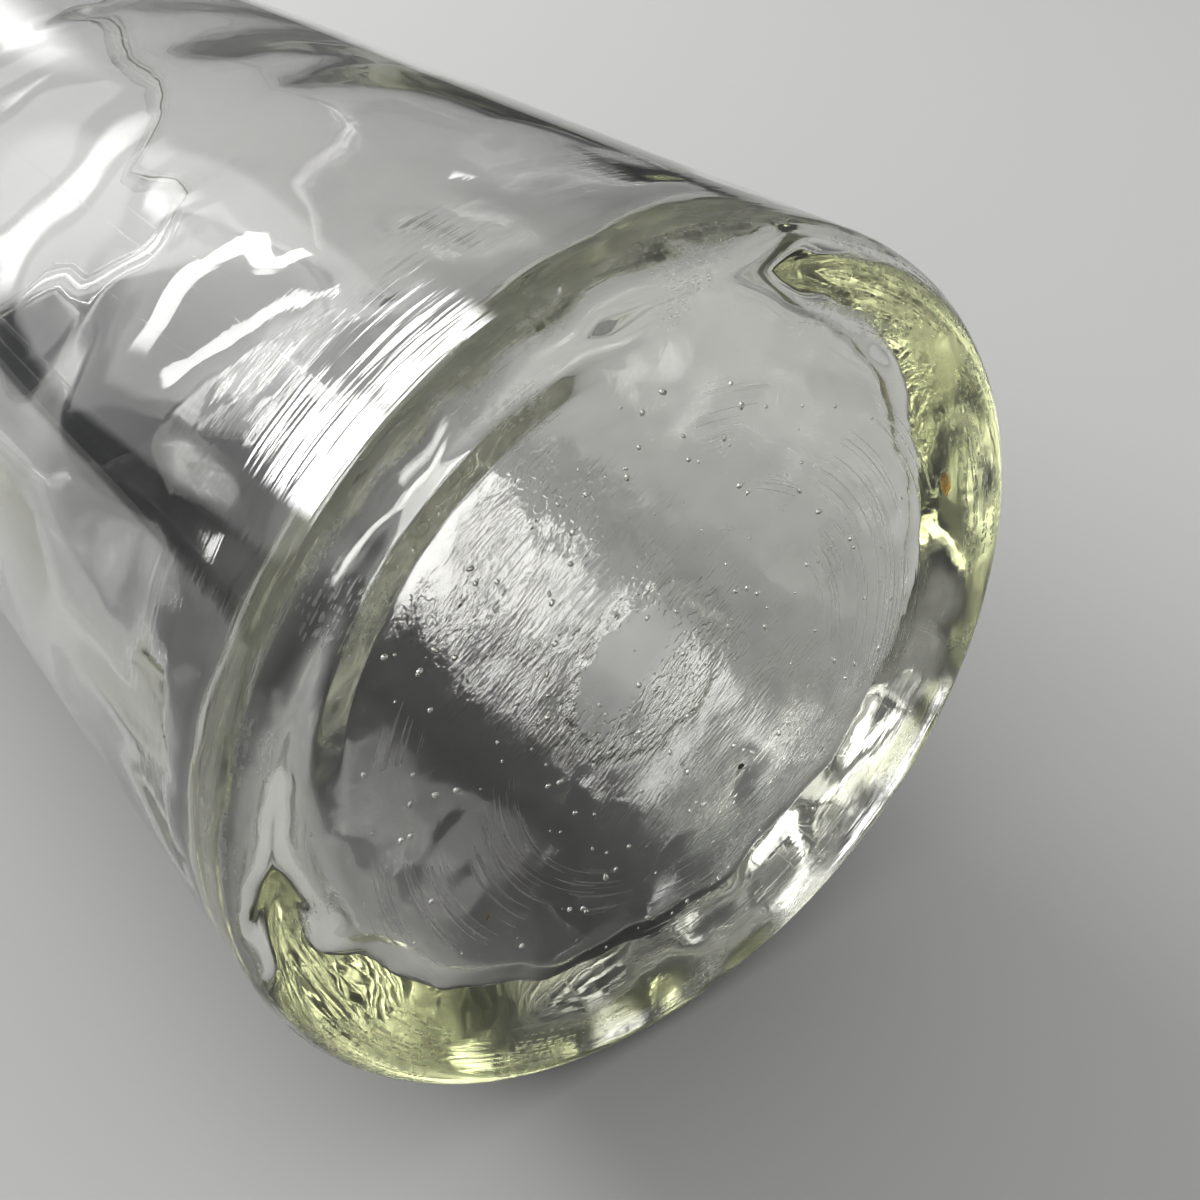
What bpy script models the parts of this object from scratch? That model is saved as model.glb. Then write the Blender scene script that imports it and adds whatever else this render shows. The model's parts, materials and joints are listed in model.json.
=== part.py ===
# Clear glass cylinder vase: one body of glass in three zones, the thick base, the round wall and the rim.
# It stands upright, +Z up, with its origin at the middle of its underside. Sizes are in metres.
import math

import bmesh
import bpy

# Driving dimensions
OUTER_DIAMETER = 0.075    # straight round body
HEIGHT = 0.200
WALL = 0.0034             # glass in the round body
BASE_THICKNESS = 0.0105   # glass under the cavity floor
HEEL_RADIUS = 0.003       # rounding from the underside to the side
FOOT_WIDTH = 0.004        # flat ring that the vase stands on, inside the heel
PUSH_UP = 0.0006          # rise of the underside inside that ring
FLOOR_FILLET = 0.004      # rounding from the cavity floor to the wall
RIM_SWELL = 0.0006        # the lip is thicker than the wall by this much, towards the inside
RIM_NECK = 0.0025         # length of glass below the lip that swells to meet it

# The cavity is not quite round near its floor: the glass lies thicker on one side, in soft lobes.
CAVITY_DRIFT = 0.0012     # sideways shift of the cavity at its floor
CAVITY_DRIFT_ANGLE = math.radians(-80)
CAVITY_LOBE = 0.0003      # depth of each set of lobes
CAVITY_LOBES = (5, 9)     # lobes round the cavity, in each set
CAVITY_FADE = 0.060       # height over which the cavity becomes round

# Seams between the zones
SEAM = 0.0003             # gap between neighbouring zones
SEAM_RISE = 0.0008        # height of the base's upper edge above the cavity floor

# Fineness of the round shapes
SEGMENTS = 72
ARC_STEPS = 6
UNDERSIDE_STEPS = 6
WALL_STEPS = 8
LIP_STEPS = 10

# Finish
GLASS_COLOUR = (0.93, 0.96, 0.90, 1.0)
GLASS_ROUGHNESS = 0.03
GLASS_IOR = 1.52

# Sizes that follow from them
RADIUS = OUTER_DIAMETER / 2
CAVITY_RADIUS = RADIUS - WALL
BASE_TOP = BASE_THICKNESS + SEAM_RISE
WALL_BOTTOM = BASE_TOP + SEAM
FILLET_TOP = BASE_THICKNESS + FLOOR_FILLET
LIP_RADIUS = (WALL + RIM_SWELL) / 2
LIP_CENTRE = HEIGHT - LIP_RADIUS
RIM_BOTTOM = LIP_CENTRE - RIM_NECK
WALL_TOP = RIM_BOTTOM - SEAM


def steps(start, end, count):
    return [start + (end - start) * i / count for i in range(count + 1)]


def arc(centre_r, centre_z, radius, start, end, count):
    angles = [math.radians(a) for a in steps(start, end, count)]
    return [(centre_r + radius * math.cos(a), centre_z + radius * math.sin(a)) for a in angles]


def fillet(start, end):
    """Points on the rounding between the cavity's wall and floor, from one height down to another."""
    shares = [min(1.0, (FILLET_TOP - z) / FLOOR_FILLET) for z in (start, end)]
    angles = [-math.degrees(math.asin(share)) for share in shares]
    return arc(CAVITY_RADIUS - FLOOR_FILLET, FILLET_TOP, FLOOR_FILLET, *angles, ARC_STEPS)


def base_profile():
    foot_outer = RADIUS - HEEL_RADIUS
    foot_inner = foot_outer - FOOT_WIDTH
    shares = steps(0, 1, UNDERSIDE_STEPS)
    underside = [(foot_inner * share, PUSH_UP * (1 - share * share)) for share in shares]
    heel = arc(foot_outer, HEEL_RADIUS, HEEL_RADIUS, -90, 0, ARC_STEPS)
    floor_edge = fillet(BASE_TOP, BASE_THICKNESS)
    return underside + heel + [(RADIUS, BASE_TOP)] + floor_edge + [(0, BASE_THICKNESS)]


def wall_profile():
    outer = [(RADIUS, z) for z in steps(WALL_BOTTOM, WALL_TOP, WALL_STEPS)]
    inner = [(CAVITY_RADIUS, z) for z in steps(WALL_TOP, FILLET_TOP, WALL_STEPS)]
    return outer + inner + fillet(FILLET_TOP, WALL_BOTTOM)[1:]


def rim_profile():
    outer = [(RADIUS, RIM_BOTTOM)]
    lip = arc(RADIUS - LIP_RADIUS, LIP_CENTRE, LIP_RADIUS, 0, 180, LIP_STEPS)
    neck = []
    for share in steps(1, 0, ARC_STEPS)[1:]:
        swell = RIM_SWELL * share * share * (3 - 2 * share)
        neck.append((CAVITY_RADIUS - swell, RIM_BOTTOM + RIM_NECK * share))
    return outer + lip + neck


def cavity_shift(angle, height):
    """How far the cavity's surface lies from round, outwards, at an angle and a height."""
    share = max(0.0, 1 - (height - BASE_THICKNESS) / CAVITY_FADE)
    fade = share * share * (3 - 2 * share)
    drift = CAVITY_DRIFT * math.cos(angle - CAVITY_DRIFT_ANGLE)
    lobes = sum(CAVITY_LOBE * math.cos(count * angle) for count in CAVITY_LOBES)
    return fade * (drift + lobes)


def shape_cavity(mesh):
    """Moves the vertices of the cavity's floor edge and wall off the round."""
    middle_of_wall = RADIUS - WALL / 2
    lowest = BASE_THICKNESS - SEAM
    for vert in mesh.verts:
        radius = math.hypot(vert.co.x, vert.co.y)
        if radius < middle_of_wall and vert.co.z > lowest:
            angle = math.atan2(vert.co.y, vert.co.x)
            scale = 1 + cavity_shift(angle, vert.co.z) / CAVITY_RADIUS
            vert.co.x *= scale
            vert.co.y *= scale


def glass():
    material = bpy.data.materials.new("clear_glass")
    material.use_nodes = True
    shader = material.node_tree.nodes["Principled BSDF"]
    shader.inputs["Base Color"].default_value = GLASS_COLOUR
    shader.inputs["Roughness"].default_value = GLASS_ROUGHNESS
    shader.inputs["Metallic"].default_value = 0.0
    shader.inputs["IOR"].default_value = GLASS_IOR
    shader.inputs["Transmission Weight"].default_value = 1.0
    return material


def turned(name, profile, closed):
    """A zone of glass turned round the vase's axis from its profile of (radius, height) points."""
    mesh = bmesh.new()
    verts = [mesh.verts.new((r, 0, z)) for r, z in profile]
    edges = [mesh.edges.new(pair) for pair in zip(verts, verts[1:])]
    if closed:
        edges.append(mesh.edges.new((verts[-1], verts[0])))
    bmesh.ops.spin(mesh, geom=verts + edges, cent=(0, 0, 0), axis=(0, 0, 1), angle=2 * math.pi, steps=SEGMENTS)
    bmesh.ops.remove_doubles(mesh, verts=mesh.verts, dist=1e-6)
    shape_cavity(mesh)
    bmesh.ops.recalc_face_normals(mesh, faces=mesh.faces)
    data = bpy.data.meshes.new(name)
    mesh.to_mesh(data)
    mesh.free()
    data.shade_smooth()
    data.set_sharp_from_angle(angle=math.radians(40))
    zone = bpy.data.objects.new(name, data)
    bpy.context.scene.collection.objects.link(zone)
    data.materials.append(glass())
    return zone


def main():
    for old in list(bpy.data.objects):
        bpy.data.objects.remove(old)
    vase = bpy.data.objects.new("vase", None)
    bpy.context.scene.collection.objects.link(vase)
    zones = [
        turned("base", base_profile(), closed=False),
        turned("wall", wall_profile(), closed=True),
        turned("rim", rim_profile(), closed=True),
    ]
    for zone in zones:
        zone.parent = vase


main()
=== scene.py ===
import json
import math
from types import SimpleNamespace

import bmesh
import bpy
from mathutils import Matrix, Vector, noise

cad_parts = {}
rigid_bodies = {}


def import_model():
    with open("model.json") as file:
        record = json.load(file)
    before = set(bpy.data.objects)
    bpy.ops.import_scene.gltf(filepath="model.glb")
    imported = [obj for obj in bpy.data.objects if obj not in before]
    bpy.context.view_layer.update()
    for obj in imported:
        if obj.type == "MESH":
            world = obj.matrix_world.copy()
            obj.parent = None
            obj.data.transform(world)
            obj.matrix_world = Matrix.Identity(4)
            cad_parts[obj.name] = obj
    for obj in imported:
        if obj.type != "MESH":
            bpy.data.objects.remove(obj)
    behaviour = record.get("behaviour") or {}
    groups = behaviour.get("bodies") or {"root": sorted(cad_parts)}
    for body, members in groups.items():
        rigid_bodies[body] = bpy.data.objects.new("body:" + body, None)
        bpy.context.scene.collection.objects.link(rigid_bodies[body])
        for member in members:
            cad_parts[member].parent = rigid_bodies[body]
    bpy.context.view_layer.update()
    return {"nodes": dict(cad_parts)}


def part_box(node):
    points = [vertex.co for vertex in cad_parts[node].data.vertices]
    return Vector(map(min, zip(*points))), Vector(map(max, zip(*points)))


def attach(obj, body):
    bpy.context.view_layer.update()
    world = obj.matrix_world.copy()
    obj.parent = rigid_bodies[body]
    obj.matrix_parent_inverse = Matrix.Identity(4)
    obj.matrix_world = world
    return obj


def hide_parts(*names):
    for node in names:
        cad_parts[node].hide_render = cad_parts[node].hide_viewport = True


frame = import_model()
print("frame loaded:", sorted(frame["nodes"]))

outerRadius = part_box("base")[1].x  # the solids settle both
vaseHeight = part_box("rim")[1].z


# small helpers for every node tree

class Bench:
    def __init__(self, tree):
        self.tree = tree

    def put(self, kind, wires=None, out=0, **settings):
        node = self.tree.nodes.new(kind)
        for name, value in settings.items():
            setattr(node, name, value)
        for place, wire in (wires or {}).items():  # by number where a node's sockets share a name
            socket = node.inputs[place]
            if isinstance(wire, bpy.types.NodeSocket):
                self.tree.links.new(wire, socket)
            else:
                socket.default_value = wire
        return node if out is None else node.outputs[out]

    def join(self, wire, node, socket):
        self.tree.links.new(wire, self.tree.nodes[node].inputs[socket])

    def math(self, operation, a, b=0.0):
        return self.put("ShaderNodeMath", {0: a, 1: b}, operation=operation)

    def sum(self, *terms):
        total = terms[0]
        for term in terms[1:]:
            total = self.math("ADD", total, term)
        return total

    def times(self, *terms):
        total = terms[0]
        for term in terms[1:]:
            total = self.math("MULTIPLY", total, term)
        return total

    def minus(self, a, b):
        return self.math("SUBTRACT", a, b)

    def over(self, a, b):
        return self.math("DIVIDE", a, b)

    def ramp(self, value, span, top=1.0, rest=0.0, ease="LINEAR"):  # from rest up to top across the span
        wires = {"Value": value, "From Min": span[0], "From Max": span[1], "To Min": rest, "To Max": top}
        return self.put("ShaderNodeMapRange", wires, interpolation_type=ease)

    def rise(self, value, span, top=1.0, rest=0.0):  # the same, eased
        return self.ramp(value, span, top, rest, "SMOOTHSTEP")

    def fall(self, value, span, top=1.0, rest=0.0):  # eased, from top down to rest
        return self.rise(value, span, rest, top)

    def noise(self, place, scale, detail=1.0, roughness=0.5, dimensions="3D"):
        wires = {"Vector": place, "Scale": scale, "Detail": detail, "Roughness": roughness}
        return self.put("ShaderNodeTexNoise", wires, noise_dimensions=dimensions)

    def swing(self, place, length, amplitude, detail=1.0):  # noise from -amplitude to +amplitude
        value = self.noise(place, self.over(1.0, length), detail)
        return self.times(self.minus(value, 0.5), 2.0, amplitude)

    def split(self, vector):
        return self.put("ShaderNodeSeparateXYZ", {0: vector}, out=None).outputs

    def point(self, x=0.0, y=0.0, z=0.0):
        return self.put("ShaderNodeCombineXYZ", {0: x, 1: y, 2: z})


def geometryTree(name, sizes):
    tree = bpy.data.node_groups.new(name, "GeometryNodeTree")
    tree.interface.new_socket("Geometry", in_out="OUTPUT", socket_type="NodeSocketGeometry")
    tree.interface.new_socket("Geometry", in_out="INPUT", socket_type="NodeSocketGeometry")
    for label, value in sizes.items():
        kind = {int: "NodeSocketInt", float: "NodeSocketFloat"}.get(type(value), "NodeSocketMaterial")
        tree.interface.new_socket(label, in_out="INPUT", socket_type=kind)
    entry = tree.nodes.new("NodeGroupInput")
    return tree, Bench(tree), {socket.name: socket for socket in entry.outputs}


def runTree(source, tree, sizes, name):
    modifier = source.modifiers.new(name, "NODES")
    modifier.node_group = tree
    for item in tree.interface.items_tree:
        if item.in_out == "INPUT" and item.name in sizes:
            modifier[item.identifier] = sizes[item.name]
    bpy.context.view_layer.update()
    evaluated = source.evaluated_get(bpy.context.evaluated_depsgraph_get())
    mesh = bpy.data.meshes.new_from_object(evaluated)
    mesh.name = name
    source.modifiers.remove(modifier)
    return mesh


def addObject(name, data):
    thing = bpy.data.objects.new(name, data)
    bpy.context.scene.collection.objects.link(thing)
    return thing


def newMaterial(name):
    material = bpy.data.materials.new(name)
    material.use_nodes = True
    return material, Bench(material.node_tree), material.node_tree.nodes["Principled BSDF"].inputs


# the camera stands where the photograph was taken from, a hand's breadth off the underside

viewpoint = {
    "place": (-0.05532, -0.06742, -0.06368),
    "forward": (0.49058, 0.56225, 0.66573),
    "right": (0.80503, 0.0, -0.59323),
    "lens": 41.73,
    "sensor": 36,
    "nearest": 0.002,
}


def makeCamera():
    forward = Vector(viewpoint["forward"]).normalized()
    right = Vector(viewpoint["right"]).normalized()
    up = right.cross(forward)
    turn = Matrix((right, up, -forward)).transposed()
    lens = bpy.data.cameras.new("camera")
    lens.lens = viewpoint["lens"]
    lens.sensor_width = viewpoint["sensor"]
    lens.clip_start = viewpoint["nearest"]
    camera = addObject("camera", lens)
    camera.matrix_world = Matrix.Translation(viewpoint["place"]) @ turn.to_4x4()
    bpy.context.scene.camera = camera


makeCamera()
print("camera set")


# stage: a pale floor that the vase lies against on its +Y side, and a soft studio round it

studio = {
    "floorColour": (0.52, 0.52, 0.51, 1),
    "floorRoughness": 0.9,
    "floorReach": 3.0,                          # from the vase to the floor's edge
    "floorGap": 0.0002,
    "farColour": (0.52, 0.52, 0.52, 1),         # seen level with the vase and below it
    "overheadColour": (0.10, 0.102, 0.105, 1),  # seen past the mouth
    "overhead": (0.0, 0.8),                     # share of the way up over which one turns into the other
    "fill": (0.66, 0.66, 0.66, 1),              # light on dull surfaces
}
lamps = {  # where each lamp stands seen from the vase (degrees, metres), its size, power and soft edge
    "panel": {"turn": -129, "rise": 51, "away": 1.6, "size": (1.25, 1.15), "power": 4.3, "soft": 0.10},
    "key": {"turn": -134, "rise": 51, "away": 1.5, "size": (0.58, 0.22), "power": 10.6, "soft": 0.35},
    "strip": {"turn": -102, "rise": 51, "away": 1.5, "size": (0.66, 0.15), "power": 6.4, "soft": 0.40},
    "top": {"turn": -125, "rise": 81, "away": 1.5, "size": (0.92, 0.42), "power": 5.0, "soft": 0.45},
    "low": {"turn": -138, "rise": 37, "away": 1.5, "size": (0.52, 0.26), "power": 4.0, "soft": 0.50},
}


def makeFloor():
    reach = studio["floorReach"]
    y = outerRadius + studio["floorGap"]
    corners = [(x * reach, y, z * reach) for x, z in ((-1, -1), (1, -1), (1, 1), (-1, 1))]
    mesh = bpy.data.meshes.new("floor")
    mesh.from_pydata(corners, [], [(0, 1, 2, 3)])
    floor = addObject("floor", mesh)
    material, bench, paint = newMaterial("paleFloor")
    paint["Base Color"].default_value = studio["floorColour"]
    paint["Roughness"].default_value = studio["floorRoughness"]
    painted = material.node_tree.nodes["Principled BSDF"].outputs[0]
    behind = bench.put("ShaderNodeNewGeometry", out=None).outputs["Backfacing"]
    clear = bench.put("ShaderNodeBsdfTransparent")  # seen through from behind
    oneSided = bench.put("ShaderNodeMixShader", {0: behind, 1: painted, 2: clear})
    bench.join(oneSided, "Material Output", "Surface")
    mesh.materials.append(material)


def makeWorld():
    world = bpy.data.worlds.new("studio")
    world.use_nodes = True
    bpy.context.scene.world = world
    bench = Bench(world.node_tree)
    direction = bench.put("ShaderNodeTexCoord", out=None).outputs["Generated"]
    height = bench.rise(bench.split(direction)["Z"], studio["overhead"])
    colours = {0: height, 6: studio["farColour"], 7: studio["overheadColour"]}
    sky = bench.put("ShaderNodeMix", colours, out=2, data_type="RGBA")
    path = bench.put("ShaderNodeLightPath", out=None).outputs
    seen = bench.math("MAXIMUM", path["Is Camera Ray"], path["Is Glossy Ray"])
    seen = bench.math("MAXIMUM", seen, path["Is Transmission Ray"])
    light = bench.put("ShaderNodeMix", {0: seen, 6: studio["fill"], 7: sky}, out=2, data_type="RGBA")
    bench.join(light, "Background", "Color")


def makeLamp(name, lamp):
    azimuth, elevation = math.radians(lamp["turn"]), math.radians(lamp["rise"])
    reach = math.cos(elevation)
    toward = Vector((reach * math.cos(azimuth), reach * math.sin(azimuth), math.sin(elevation)))
    light = bpy.data.lights.new(name, "AREA")
    light.shape = "RECTANGLE"
    light.size, light.size_y = lamp["size"]
    light.energy = lamp["power"]
    light.use_nodes = True
    bench = Bench(light.node_tree)
    across = bench.put("ShaderNodeNewGeometry", out=None).outputs["Parametric"]  # 0 to 1 each way
    edge = (0.0, lamp["soft"] / 2)
    glow = [bench.rise(bench.math("PINGPONG", side, 0.5), edge) for side in bench.split(across)[:2]]
    bench.join(bench.times(*glow), "Emission", "Strength")
    holder = addObject(name, light)
    holder.location = toward * lamp["away"]
    holder.rotation_mode = "QUATERNION"
    holder.rotation_quaternion = toward.to_track_quat("Z", "Y")
    holder.visible_camera = False


makeFloor()
makeWorld()
for lampName, lampValues in lamps.items():
    makeLamp(lampName, lampValues)
print("stage lit")


# the glass itself: clear, with a faint yellow-green that shows where light runs far inside it

clearGlass = {
    "ior": 1.52,
    "tint": (0.57, 0.585, 0.405, 1),
    "density": 16.0,
    "brushAngle": -39,             # degrees, the way the marks on the cavity floor run
    "grainWidth": 0.00038,
    "grainLength": 0.0015,
    "grainHeight": 40e-6,
    "grainHaze": 0.02,             # roughness where the floor is grainy
    "ringWidth": 0.0011,           # rings on the underside and round the wall
    "ringTurn": 0.36,              # radians
    "ringHeight": 42e-6,
    "ringHaze": 0.10,
    "strandDetail": 2.0,           # how finely grain and rings break into strands
    "strandRoughness": 0.6,
    "pitWidth": 0.00055,           # glinting pits about the mark
    "pitDepth": 50e-6,
    "pitFrom": (0.57, 0.76),       # the noise values that make a pit
    "scuff": 0.22,                 # roughness of the worn foot ring
    "scuffSpeckle": (0.25, 0.75),
    "scuffLines": (0.40, 0.70),
    "swirl": 0.45,                 # roughness of the rubbed rings on the underside
    "swirlLines": (0.60, 0.68),
    "mark": 0.42,                  # roughness of the round mark on the cavity floor
    "lip": 0.25,                   # roughness of the fire-polished lip
    "lipDepth": (0.0024, 0.0012),  # below the top, where that starts and is full
    "scratch": 0.12,               # roughness of the hairline scratches
    "scratchLines": (0.82, 0.85),
    "scratchAngle": 25,            # degrees
    "scratchRun": 0.014,           # length of a straight one
    "scratchBroad": 0.000308,      # its width
    "scratchTurn": 0.8,            # turn of a curved one, which follows a ring on the underside
    "scratchFine": 0.00022,        # its width
    "zoneEdge": 0.001,             # an attribute above this puts a point in its zone
}


def makeGlass():
    look = clearGlass
    material, bench, glass = newMaterial("clearGlass")
    glass["Base Color"].default_value = (1, 1, 1, 1)
    glass["IOR"].default_value = look["ior"]
    glass["Transmission Weight"].default_value = 1.0
    tint = bench.put("ShaderNodeVolumeAbsorption", {"Color": look["tint"], "Density": look["density"]})
    bench.join(tint, "Material Output", "Volume")
    place = bench.put("ShaderNodeTexCoord", out=None).outputs["Object"]
    zones = ("grainy", "ringed", "worn", "matte", "pitted", "swirled")
    grainy, ringed, worn, matte, pitted, swirled = (
        bench.put("ShaderNodeAttribute", out=2, attribute_name=name) for name in zones)

    def stretched(turn, along, across):
        wires = {"Vector": place, "Rotation": (0, 0, math.radians(turn)), "Scale": (along, across, 1)}
        return bench.put("ShaderNodeMapping", wires, vector_type="TEXTURE")

    def either(test, no, yes):
        inZone = bench.math("GREATER_THAN", test, look["zoneEdge"])
        return bench.put("ShaderNodeMix", {0: inZone, 4: no, 5: yes}, out=1, data_type="VECTOR")

    # one noise gives both the grain of the cavity floor and the rings everywhere else
    x, y, z = bench.split(place)
    radius = bench.put("ShaderNodeVectorMath", {0: bench.point(x, y)}, out=1, operation="LENGTH")
    turn = bench.math("ARCTAN2", y, x)
    climb = bench.sum(radius, z)  # outwards on the underside, upwards on the wall
    rings = bench.point(bench.over(turn, look["ringTurn"]), bench.over(climb, look["ringWidth"]))
    brush = stretched(look["brushAngle"], look["grainLength"], look["grainWidth"])
    strand = either(grainy, rings, brush)
    streak = bench.noise(strand, 1.0, look["strandDetail"], look["strandRoughness"], dimensions="2D")
    swing = bench.times(bench.minus(streak, 0.5), 2.0)
    depth = bench.sum(bench.times(grainy, look["grainHeight"]), bench.times(ringed, look["ringHeight"]))
    speckle = bench.noise(place, 1 / look["pitWidth"], 0.0, dimensions="2D")
    pit = bench.times(bench.rise(speckle, look["pitFrom"]), pitted, look["pitDepth"])
    relief = bench.minus(bench.times(swing, depth), pit)
    bump = bench.put("ShaderNodeBump", {"Strength": 1.0, "Distance": 1.0, "Height": relief})
    bench.join(bump, "Principled BSDF", "Normal")

    # the foot ring is rubbed dull, and hairline scratches cross the rest
    straight = stretched(look["scratchAngle"], look["scratchRun"], look["scratchBroad"])
    curved = bench.point(bench.over(turn, look["scratchTurn"]), bench.over(radius, look["scratchFine"]))
    hair = bench.noise(either(bench.sum(swirled, worn), straight, curved), 1.0, 0.0, dimensions="2D")
    rubbed = bench.sum(bench.rise(speckle, look["scuffSpeckle"]), bench.rise(hair, look["scuffLines"]))
    lip = [vaseHeight - below for below in look["lipDepth"]]
    roughness = bench.sum(
        bench.times(worn, look["scuff"], rubbed),
        bench.times(matte, look["mark"]),
        bench.times(grainy, look["grainHaze"]),
        bench.times(ringed, look["ringHaze"]),
        bench.times(swirled, bench.rise(hair, look["swirlLines"]), look["swirl"]),
        bench.rise(z, lip, look["lip"]),
        bench.rise(hair, look["scratchLines"], look["scratch"]))
    bench.join(roughness, "Principled BSDF", "Roughness")
    return material


glass = makeGlass()
print("glass mixed")


# the turned body: a profile from the middle of the underside, over the lip and down to the cavity floor

body = {
    "wall": 0.0034,
    "baseThickness": 0.0105,
    "heelRadius": 0.003,
    "footWidth": 0.004,
    "pushUp": 0.0006,
    "floorFillet": 0.004,
    "rimSwell": 0.0006,
    "rimNeck": 0.0025,
    "stepInside": 0.024,      # the floor's points lie closer outside this radius, for the crescent step
    "markBand": (0.7, 1.35),  # and between these shares of the mark's radius, for its edge
    "lobes": (5.0, 9.0),      # lobes round the cavity's foot, in each set
    "weld": 1e-7,             # points closer than this are one
    "steps": {"underside": 26, "foot": 6, "heel": 16, "wall": 56, "lip": 18, "neck": 8, "fillet": 18,
              "step": 41, "floor": 22, "markEdge": 24, "mark": 6},
}


def spaced(start, end, count):
    return [start + (end - start) * i / count for i in range(count + 1)]


def arc(centreR, centreZ, radius, start, end, count):
    turns = [math.radians(a) for a in spaced(start, end, count)]
    return [(centreR + radius * math.cos(a), centreZ + radius * math.sin(a)) for a in turns]


def bodyProfile():
    steps = body["steps"]
    cavity = outerRadius - body["wall"]
    footOuter = outerRadius - body["heelRadius"]
    footInner = footOuter - body["footWidth"]
    lip = (body["wall"] + body["rimSwell"]) / 2
    lipCentre = vaseHeight - lip
    rimBottom = lipCentre - body["rimNeck"]
    filletTop = body["baseThickness"] + body["floorFillet"]
    floorEdge = cavity - body["floorFillet"]
    shares = spaced(0, 1, steps["underside"])
    outside = [(footInner * share, body["pushUp"] * (1 - share * share)) for share in shares]
    outside += [(r, 0) for r in spaced(footInner, footOuter, steps["foot"])][1:]
    outside += arc(footOuter, body["heelRadius"], body["heelRadius"], -90, 0, steps["heel"])[1:]
    outside += [(outerRadius, z) for z in spaced(body["heelRadius"], lipCentre, steps["wall"])][1:]
    outside += arc(outerRadius - lip, lipCentre, lip, 0, 180, steps["lip"])[1:]
    inside = []
    for share in spaced(1, 0, steps["neck"])[1:]:
        swell = body["rimSwell"] * share * share * (3 - 2 * share)
        inside.append((cavity - swell, rimBottom + body["rimNeck"] * share))
    inside += [(cavity, z) for z in spaced(rimBottom, filletTop, steps["wall"])][1:]
    inside += arc(floorEdge, filletTop, body["floorFillet"], 0, -90, steps["fillet"])[1:]
    markInner, markOuter = (bodyShape["Mark Radius"] * share for share in body["markBand"])
    stops = (floorEdge, body["stepInside"], markOuter, markInner, 0)
    for far, near, part in zip(stops, stops[1:], ("step", "floor", "markEdge", "mark")):
        inside += [(r, body["baseThickness"]) for r in spaced(far, near, steps[part])][1:]
    return outside, inside


def profileWire():
    outside, inside = bodyProfile()
    points = [(r, 0, z) for r, z in outside + inside]
    mesh = bpy.data.meshes.new("profile")
    mesh.from_pydata(points, [(i, i + 1) for i in range(len(points) - 1)], [])
    flags = mesh.attributes.new("inside", "FLOAT", "POINT")
    flags.data.foreach_set("value", [0.0] * len(outside) + [1.0] * len(inside))
    return addObject("profile", mesh)


bodyShape = {
    "Segments": 288,
    "Drift": 0.0012,          # sideways shift of the cavity at its floor
    "Drift Angle": math.radians(-80),
    "Lobe": 0.0003,           # two sets of soft lobes round the cavity's foot
    "Knuckle": 0.0034,        # irregular part of the same
    "Knuckle Size": 0.012,
    "Knuckle Fade": 0.025,
    "Cavity Fade": 0.060,
    "Taper": 0.0018,          # the wall thins by this much from foot to mouth
    "Flare": 0.0013,          # and thickens by this much more just above the floor
    "Flare Height": 0.030,
    "Wall Wave": 0.00040,     # slow thick and thin places up the wall
    "Wall Wave Size": 0.015,
    "Wave Side": math.radians(-129),  # the wall is wavier on this side
    "Skin Wave": 0.00006,     # the same on the outside, fainter
    "Draw": 0.00002,          # faint lines up the outside
    "Draw Width": 0.0026,
    "Floor Step": 0.0010,     # the floor is lower in a crescent at one side
    "Floor Step Width": 0.0027,
    "Floor Step Radius": 0.0316,
    "Floor Step Shift": 0.0040,
    "Floor Step Angle": math.radians(-137),
    "Floor Step Spread": math.radians(31),  # it dies away beyond this turn to either side
    "Mark Radius": 0.0074,    # round mark in the middle of the cavity floor
    "Mark Depth": 0.00010,
    "Mark Ridge": 0.00005,
    "Mark Rag": 0.0022,       # how far its edge wanders
    "Floor Wave": 0.0002,
    "Floor Wave Size": 0.0045,
    "Material": glass,
}
bodyEase = {  # how each shape comes in, dies away or breaks up
    "knuckleDetail": 1.5,           # how finely the knuckles break up
    "taperTop": (0.011, 0.005),     # below the top
    "waveSide": (-0.2, 0.7),        # cosine of the turn from the wavy side
    "waveRest": 0.45,               # share of the waves on the far side
    "skinFrom": 0.9,                # share of the radius
    "skinStretch": 1.3,             # the outside's waves are longer than the inside's
    "drawStretch": 0.04,            # the lines run up the glass, so height counts for little
    "stepEnd": (-0.12, 0.30),       # radians past the crescent's spread
    "markEdge": (-0.0006, 0.0006),  # metres past the mark's edge
    "markRagSize": 0.0022,
    "markRagDetail": 2.0,
    "ridgeOut": 0.0008,
    "ridgeWidth": 0.0009,
    "waveFromMark": (0.0, 0.002),
}


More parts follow.
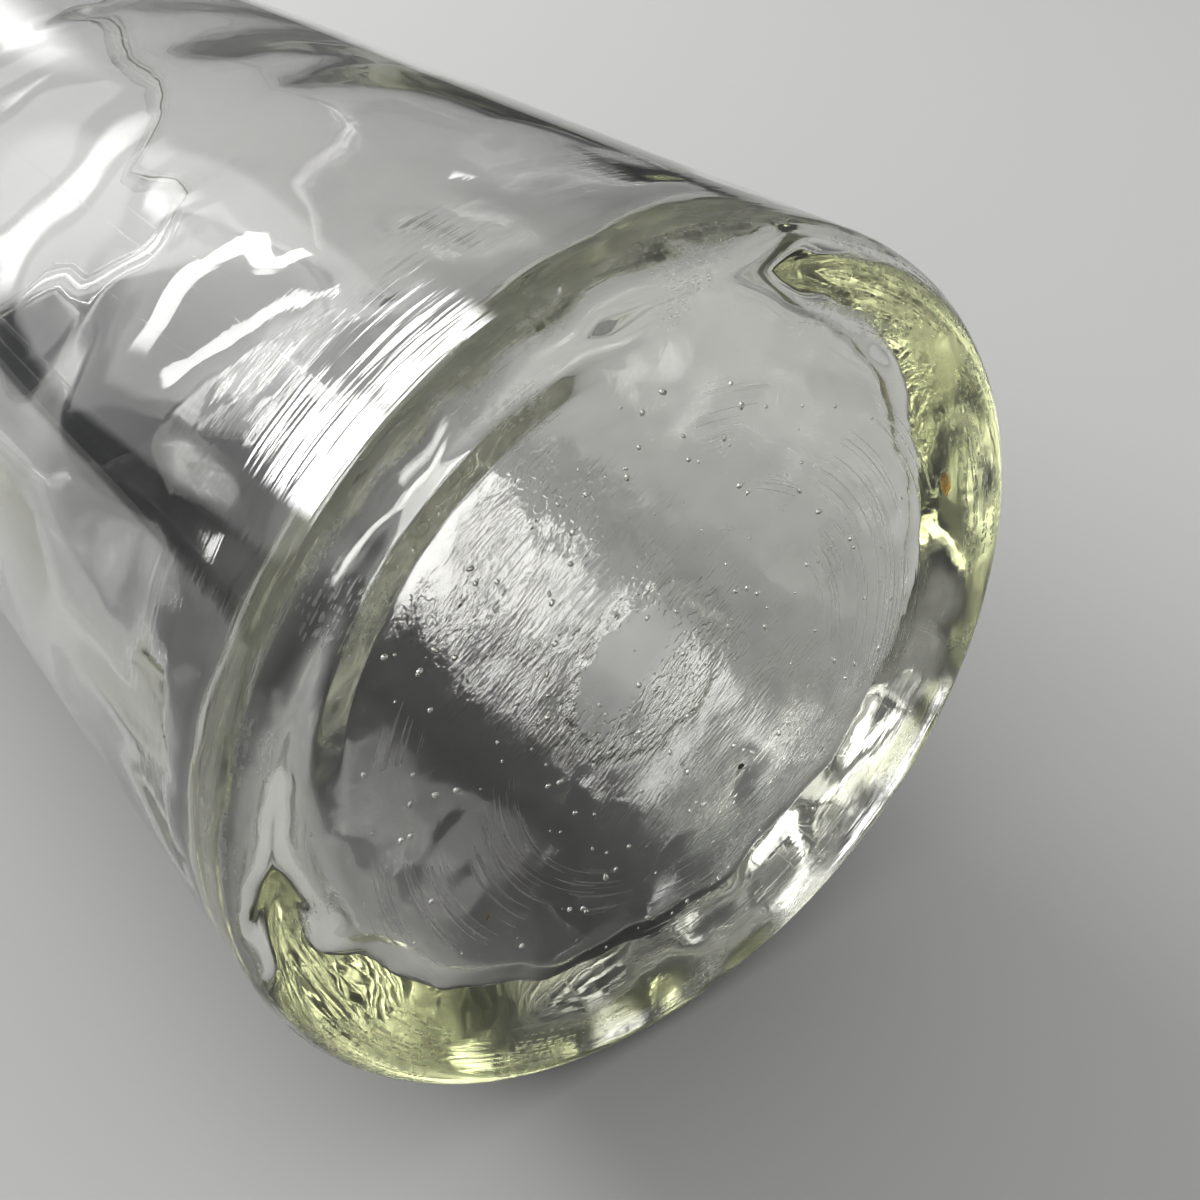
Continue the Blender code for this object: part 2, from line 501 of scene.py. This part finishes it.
def sweepProfile(bench, size):  # a grid with a column for each turn and a row for each point of the profile
    wire = size["Geometry"]
    rows = bench.put("GeometryNodeAttributeDomainSize", {"Geometry": wire})
    columns = bench.sum(size["Segments"], 1)
    cells = {"Size X": 1.0, "Size Y": 1.0, "Vertices X": columns, "Vertices Y": rows}
    grid = bench.put("GeometryNodeMeshGrid", cells)
    index = bench.put("GeometryNodeInputIndex")
    column = bench.math("FLOOR", bench.over(index, rows))
    row = bench.minus(index, bench.times(column, rows))
    place = bench.put("GeometryNodeInputPosition")
    inside = bench.put("GeometryNodeInputNamedAttribute", {"Name": "inside"}, data_type="FLOAT")

    def ofProfile(value, kind):
        wires = {"Geometry": wire, "Value": value, "Index": row}
        return bench.put("GeometryNodeSampleIndex", wires, data_type=kind)

    profile, inner = ofProfile(place, "FLOAT_VECTOR"), ofProfile(inside, "FLOAT")
    radius, _, height = bench.split(profile)
    angle = bench.over(bench.times(column, 2 * math.pi), size["Segments"])
    cos, sin = bench.math("COSINE", angle), bench.math("SINE", angle)
    spot = SimpleNamespace(radius=radius, height=height, angle=angle, cos=cos, sin=sin, inner=inner)
    spot.outer = bench.minus(1.0, inner)
    spot.lift = bench.minus(height, body["baseThickness"])  # above the cavity floor
    spot.onRound = turned(bench, spot, radius, height)
    return grid, spot


def turned(bench, spot, radius, height):
    return bench.point(bench.times(radius, spot.cos), bench.times(radius, spot.sin), height)


def cosineFrom(bench, spot, side):
    return bench.math("COSINE", bench.minus(spot.angle, side))


def cavityShift(bench, size, spot):  # how far the cavity lies from round, and how thick its wall is
    fade = bench.fall(spot.lift, (0.0, size["Cavity Fade"]))
    drift = bench.times(size["Drift"], cosineFrom(bench, spot, size["Drift Angle"]))
    rounds = [bench.math("COSINE", bench.times(spot.angle, count)) for count in body["lobes"]]
    lobes = [bench.times(size["Lobe"], each) for each in rounds]
    knuckle = bench.swing(spot.onRound, size["Knuckle Size"], size["Knuckle"], bodyEase["knuckleDetail"])
    knuckle = bench.times(knuckle, bench.fall(spot.lift, (0.0, size["Knuckle Fade"])))
    foot = bench.sum(bench.times(fade, bench.sum(drift, *lobes)), knuckle)
    thick, thin = (vaseHeight - below for below in bodyEase["taperTop"])
    taper = bench.ramp(spot.height, (body["baseThickness"], thin), 0.5, -0.5)
    taper = bench.times(taper, size["Taper"], bench.fall(spot.height, (thick, thin)))
    flare = bench.times(size["Flare"], bench.rise(spot.lift, (0.0, size["Flare Height"]), 0.0, -1.0))
    facing = cosineFrom(bench, spot, size["Wave Side"])
    wavy = bench.rise(facing, bodyEase["waveSide"], 1.0, bodyEase["waveRest"])
    wave = bench.times(bench.swing(spot.onRound, size["Wall Wave Size"], size["Wall Wave"]), wavy)
    share = bench.over(spot.radius, outerRadius)  # the middle of the floor stays put
    return bench.times(spot.inner, share, bench.sum(bench.sum(foot, taper, flare), wave))


def skinShift(bench, size, spot):  # the outside only ever moves inwards
    waveSize = bench.times(size["Wall Wave Size"], bodyEase["skinStretch"])
    waves = bench.swing(spot.onRound, waveSize, size["Skin Wave"])
    upright = bench.times(spot.height, bodyEase["drawStretch"])
    drawn = bench.point(bench.times(spot.cos, outerRadius), bench.times(spot.sin, outerRadius), upright)
    skin = bench.sum(waves, bench.swing(drawn, size["Draw Width"], size["Draw"]))
    skin = bench.minus(skin, bench.sum(size["Skin Wave"], size["Draw"]))
    outward = bench.rise(spot.radius, (outerRadius * bodyEase["skinFrom"], outerRadius))
    return bench.times(spot.outer, outward, skin)


def floorSink(bench, size, spot):  # crescent step and round mark on the cavity floor
    stepAngle = size["Floor Step Angle"]
    centre = bench.point(
        bench.times(size["Floor Step Shift"], -1.0, bench.math("COSINE", stepAngle)),
        bench.times(size["Floor Step Shift"], -1.0, bench.math("SINE", stepAngle)))
    away = bench.put("ShaderNodeVectorMath", {0: spot.flat, 1: centre}, out=1, operation="DISTANCE")
    spot.pastStep = bench.minus(away, size["Floor Step Radius"])
    half = bench.times(size["Floor Step Width"], 0.5)
    step = bench.ramp(spot.pastStep, (bench.times(half, -1.0), half))
    aside = bench.math("ARCCOSINE", cosineFrom(bench, spot, stepAngle))
    beyond = bench.minus(aside, size["Floor Step Spread"])
    step = bench.times(step, bench.fall(beyond, bodyEase["stepEnd"]))
    ragged = bench.swing(spot.flat, bodyEase["markRagSize"], size["Mark Rag"], bodyEase["markRagDetail"])
    spot.fromMark = bench.minus(bench.sum(spot.newRadius, ragged), size["Mark Radius"])
    mark = bench.times(size["Mark Depth"], bench.fall(spot.fromMark, bodyEase["markEdge"]))
    fromRidge = bench.math("ABSOLUTE", bench.minus(spot.fromMark, bodyEase["ridgeOut"]))
    ridge = bench.times(size["Mark Ridge"], bench.fall(fromRidge, (0.0, bodyEase["ridgeWidth"])))
    waves = bench.swing(spot.flat, size["Floor Wave Size"], size["Floor Wave"])
    waves = bench.times(waves, bench.rise(spot.fromMark, bodyEase["waveFromMark"]))
    sink = bench.sum(bench.times(size["Floor Step"], step), mark, waves, bench.times(ridge, -1.0))
    spot.onFloor = bench.times(spot.inner, bench.fall(spot.lift, (0.0, body["floorFillet"])))
    return bench.times(spot.onFloor, sink)


finishZones = {  # where each finish lies: spans in metres unless a note says otherwise
    "underside": (0.0012, 0.0040),        # height that the rubbed finishes stay below
    "footRing": (0.0285, 0.0320),         # radius
    "footPatches": (90, (0.42, 0.60)),    # noise scale, and its values that leave the ring worn
    "swirlStart": (0.012, 0.017),         # radius
    "swirlEnd": (0.026, 0.030),
    "swirlPatches": (75, (0.44, 0.56)),
    "swirlRings": 0.5,                    # strength
    "strokeStart": (0.0004, 0.0016),      # height, strokes round the heel
    "strokeEnd": (0.007, 0.022),
    "strokes": 0.32,                      # strength
    "rippleStart": (0.001, 0.003),        # above the cavity floor, ripples up its wall
    "rippleEnd": (0.004, 0.014),
    "ripples": 0.6,
    "floorPatches": (190, (0.34, 0.54)),
    "leastGrain": 0.25,
    "bandWay": (0.63, 0.78),              # the band of marks crosses the floor this way, away from the step
    "band": (0.008, 0.015),               # from the band's middle line
    "besideBand": 0.12,                   # grain left past it
    "clearOfStep": (-0.0030, -0.0015),    # from the crescent step, which stays clear
    "markInside": (-0.0012, 0.0),         # from the mark's edge, its dull part
    "markNear": (-0.001, 0.003),          # along the band, to which it reaches
    "markEdge": (0.0004, 0.0016),
    "edgeGrain": 0.6,
    "floorGrain": 0.01,                   # grain left all over the floor
    "pitInside": (-0.0008, 0.0006),
    "pitFar": (-0.002, 0.002),            # along the band, from which the mark is pitted
    "pitBesideStart": (0.003, 0.005),     # from the band's middle line
    "pitBesideEnd": (0.007, 0.010),
    "pits": (0.8, 0.42),                  # strength in the mark and beside it
}


def zonesOf(bench, spot):  # the attributes that the material reads
    zone = finishZones
    under = bench.times(spot.outer, bench.fall(spot.height, zone["underside"]))

    def patches(place, name, least=0.0):
        scale, values = zone[name]
        return bench.rise(bench.noise(place, scale, 1.0), values, 1.0, least)

    x, y, _ = bench.split(spot.flat)
    wayX, wayY = zone["bandWay"]
    along = bench.sum(bench.times(x, wayX), bench.times(y, wayY))
    sideways = bench.math("ABSOLUTE", bench.sum(bench.times(x, wayY), bench.times(y, -wayX)))
    patchy = patches(spot.flat, "floorPatches", zone["leastGrain"])
    inMark = bench.times(bench.fall(spot.fromMark, zone["markInside"]), bench.fall(along, zone["markNear"]))
    edge = bench.fall(bench.math("ABSOLUTE", spot.fromMark), zone["markEdge"], zone["edgeGrain"])
    clearFloor = bench.times(spot.onFloor, bench.fall(spot.pastStep, zone["clearOfStep"]))
    grain = bench.sum(bench.times(patchy, bench.minus(1.0, inMark)), edge, zone["floorGrain"])
    grain = bench.times(clearFloor, bench.fall(sideways, zone["band"], 1.0, zone["besideBand"]), grain)

    pitMark = bench.times(bench.fall(spot.fromMark, zone["pitInside"]), bench.rise(along, zone["pitFar"]))
    beside = bench.rise(sideways, zone["pitBesideStart"])
    beside = bench.times(beside, bench.fall(sideways, zone["pitBesideEnd"]), patchy)
    markPits, bandPits = zone["pits"]
    pits = bench.sum(edge, bench.times(pitMark, markPits), bench.times(beside, bandPits))

    annulus = bench.rise(spot.radius, zone["swirlStart"])
    annulus = bench.times(annulus, bench.fall(spot.radius, zone["swirlEnd"]))
    swirls = bench.times(under, annulus, patches(spot.flat, "swirlPatches"))
    ripples = bench.times(spot.inner, bench.rise(spot.lift, zone["rippleStart"]))
    ripples = bench.times(ripples, bench.fall(spot.lift, zone["rippleEnd"], zone["ripples"]))
    strokes = bench.times(spot.outer, bench.rise(spot.height, zone["strokeStart"]))
    strokes = bench.times(strokes, bench.fall(spot.height, zone["strokeEnd"], zone["strokes"]))
    footRing = bench.rise(spot.radius, zone["footRing"])
    worn = bench.times(under, footRing, patches(spot.onRound, "footPatches"))
    return {
        "grainy": grain,
        "ringed": bench.sum(bench.times(swirls, zone["swirlRings"]), ripples, strokes),
        "worn": worn,
        "matte": bench.times(spot.onFloor, inMark),
        "pitted": bench.times(clearFloor, pits),
        "swirled": swirls,
    }


def bodyTree():
    tree, bench, size = geometryTree("turnGlass", bodyShape)
    grid, spot = sweepProfile(bench, size)
    spot.newRadius = bench.sum(spot.radius, cavityShift(bench, size, spot), skinShift(bench, size, spot))
    spot.flat = turned(bench, spot, spot.newRadius, 0.0)
    newHeight = bench.minus(spot.height, floorSink(bench, size, spot))
    for label, value in zonesOf(bench, spot).items():
        stored = {"Geometry": grid, "Name": label, "Value": value}
        grid = bench.put("GeometryNodeStoreNamedAttribute", stored)
    newPlace = turned(bench, spot, spot.newRadius, newHeight)
    shaped = bench.put("GeometryNodeSetPosition", {"Geometry": grid, "Position": newPlace})
    closed = bench.put("GeometryNodeMergeByDistance", {"Geometry": shaped, "Distance": body["weld"]})
    whole = bench.put("GeometryNodeRealizeInstances", {"Geometry": closed})
    finished = bench.put("GeometryNodeSetMaterial", {"Geometry": whole, "Material": size["Material"]})
    bench.put("NodeGroupOutput", {"Geometry": finished}, out=None)
    return tree


# seeds: small bubbles left in the thick base

seedRange = {
    "Count": 230,
    "Seed": 11,
    "Reach": 0.027,           # from the axis
    "Crowding": 0.62,         # below 1 spreads them outwards
    "Lowest": 0.0014,
    "Highest": 0.0084,
    "Smallest": 0.00008,
    "Largest": 0.00028,
    "Size Power": 1.6,        # above 1 makes most of them tiny
    "Least Stretch": 0.9,
    "Most Stretch": 1.7,
    "Material": glass,
}


def seedTree():
    tree, bench, size = geometryTree("scatterSeeds", seedRange)

    def chance(low, high, step):
        seed = bench.sum(size["Seed"], step)
        return bench.put("FunctionNodeRandomValue", {2: low, 3: high, 8: seed}, out=1, data_type="FLOAT")

    away = bench.times(size["Reach"], bench.math("POWER", chance(0.0, 1.0, 0), size["Crowding"]))
    angle = chance(0.0, 2 * math.pi, 1)
    height = chance(size["Lowest"], size["Highest"], 2)
    x, y = (bench.times(away, bench.math(way, angle)) for way in ("COSINE", "SINE"))
    place = bench.point(x, y, height)
    points = bench.put("GeometryNodePoints", {"Count": size["Count"], "Position": place})
    bubble = bench.put("GeometryNodeMeshUVSphere", {"Segments": 8, "Rings": 5, "Radius": 1.0})
    bulk = bench.math("POWER", chance(0.0, 1.0, 3), size["Size Power"])
    width = bench.ramp(bulk, (0.0, 1.0), size["Largest"], size["Smallest"])
    length = bench.times(width, chance(size["Least Stretch"], size["Most Stretch"], 4))
    scale = bench.point(length, width, width)
    turn = bench.point(z=chance(0.0, math.pi, 5))
    spread = bench.put("GeometryNodeInstanceOnPoints", {
        "Points": points, "Instance": bubble, "Rotation": turn, "Scale": scale})
    whole = bench.put("GeometryNodeRealizeInstances", {"Geometry": spread})
    finished = bench.put("GeometryNodeSetMaterial", {"Geometry": whole, "Material": size["Material"]})
    bench.put("NodeGroupOutput", {"Geometry": finished}, out=None)
    return tree


def makeSeeds():
    holder = addObject("seedHolder", bpy.data.meshes.new("seedHolder"))
    mesh = runTree(holder, seedTree(), seedRange, "seeds")
    bpy.data.objects.remove(holder)
    return mesh


def makeBody():
    wire = profileWire()
    mesh = runTree(wire, bodyTree(), bodyShape, "vaseGlass")
    bpy.data.objects.remove(wire)
    shell = bmesh.new()
    shell.from_mesh(mesh)
    bmesh.ops.remove_doubles(shell, verts=shell.verts, dist=body["weld"])
    bmesh.ops.recalc_face_normals(shell, faces=shell.faces)
    loose = [edge for edge in shell.edges if not edge.is_manifold]
    volume = round(shell.calc_volume() * 1e6, 1)
    print("body:", len(shell.faces), "faces,", len(loose), "open edges, volume", volume, "cm3")
    solid = set(shell.faces)
    shell.from_mesh(makeSeeds())
    hollow = [face for face in shell.faces if face not in solid]
    bmesh.ops.reverse_faces(shell, faces=hollow)  # a bubble's faces point into its hollow
    print("seeds:", len(hollow), "faces")
    shell.to_mesh(mesh)
    shell.free()
    mesh.shade_smooth()
    piece = addObject("vaseGlass", mesh)
    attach(piece, "root")
    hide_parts("base", "wall", "rim")


makeBody()
print("glass body turned")


# specks: amber flecks and a small dark stone, held in the base

specks = {  # place, half sizes, turn in degrees and colour
    "heelFleck": {"at": (0.0276, -0.0105, 0.0012), "size": (0.00048, 0.00125, 0.00034), "turn": -24,
                  "colour": (0.88, 0.46, 0.07, 1)},
    "darkStone": {"at": (0.0090, 0.0125, 0.0062), "size": (0.00036, 0.00028, 0.00028), "turn": 10,
                  "colour": (0.035, 0.024, 0.014, 1)},
    "smallFleck": {"at": (-0.0175, 0.0140, 0.0050), "size": (0.00012, 0.00028, 0.00012), "turn": 35,
                   "colour": (0.80, 0.45, 0.10, 1)},
}
speckLump = {"bulge": 0.28, "lumps": 1.7, "apart": 900}  # unevenness, its scale, how unlike they are
speckFinish = {
    "gritScale": 4000,
    "gritFrom": (0.35, 0.65),
    "gritShade": (0.55, 1.15),  # darkest and lightest
    "gritDepth": 0.00005,
    "gritStrength": 0.6,
    "roughness": 0.35,
    "ior": 1.1,                 # against the glass round it, so light goes in and is stained
}


def makeSpeckFinish():
    finish = speckFinish
    material, bench, shader = newMaterial("speckGrain")
    place = bench.put("ShaderNodeTexCoord", out=None).outputs["Object"]
    grit = bench.noise(place, finish["gritScale"], 2.0)
    own = bench.put("ShaderNodeAttribute", out=0, attribute_name="tone")
    darkest, lightest = finish["gritShade"]
    shade = bench.rise(grit, finish["gritFrom"], lightest, darkest)
    tone = bench.put("ShaderNodeVectorMath", {0: own, "Scale": shade}, operation="SCALE")
    relief = {"Strength": finish["gritStrength"], "Distance": finish["gritDepth"], "Height": grit}
    bench.join(tone, "Principled BSDF", "Base Color")
    bench.join(bench.put("ShaderNodeBump", relief), "Principled BSDF", "Normal")
    shader["Roughness"].default_value = finish["roughness"]
    shader["IOR"].default_value = finish["ior"]
    shader["Transmission Weight"].default_value = 1.0
    return material


def makeSpecks():
    lumps = bmesh.new()
    tone = lumps.verts.layers.float_color.new("tone")
    for speck in specks.values():
        made = bmesh.ops.create_icosphere(lumps, subdivisions=3, radius=1.0)["verts"]
        turn = Matrix.Rotation(math.radians(speck["turn"]), 3, "Z")
        centre = Vector(speck["at"])
        for vert in made:
            where = vert.co * speckLump["lumps"] + centre * speckLump["apart"]
            bulge = 1 + speckLump["bulge"] * noise.noise(where)
            spread = Vector(a * b for a, b in zip(vert.co * bulge, speck["size"]))
            vert.co = turn @ spread + centre
            vert[tone] = speck["colour"]
    mesh = bpy.data.meshes.new("specks")
    lumps.to_mesh(mesh)
    lumps.free()
    mesh.shade_smooth()
    mesh.materials.append(makeSpeckFinish())
    piece = addObject("specks", mesh)
    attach(piece, "root")


makeSpecks()
print("specks placed")


# light runs far inside the glass before it leaves

lightPaths = {"max_bounces": 48, "transmission_bounces": 48, "glossy_bounces": 48,
              "caustics_refractive": False, "caustics_reflective": False}

scene = bpy.context.scene
scene.view_settings.view_transform = "Standard"
for setting, value in lightPaths.items():
    setattr(scene.cycles, setting, value)
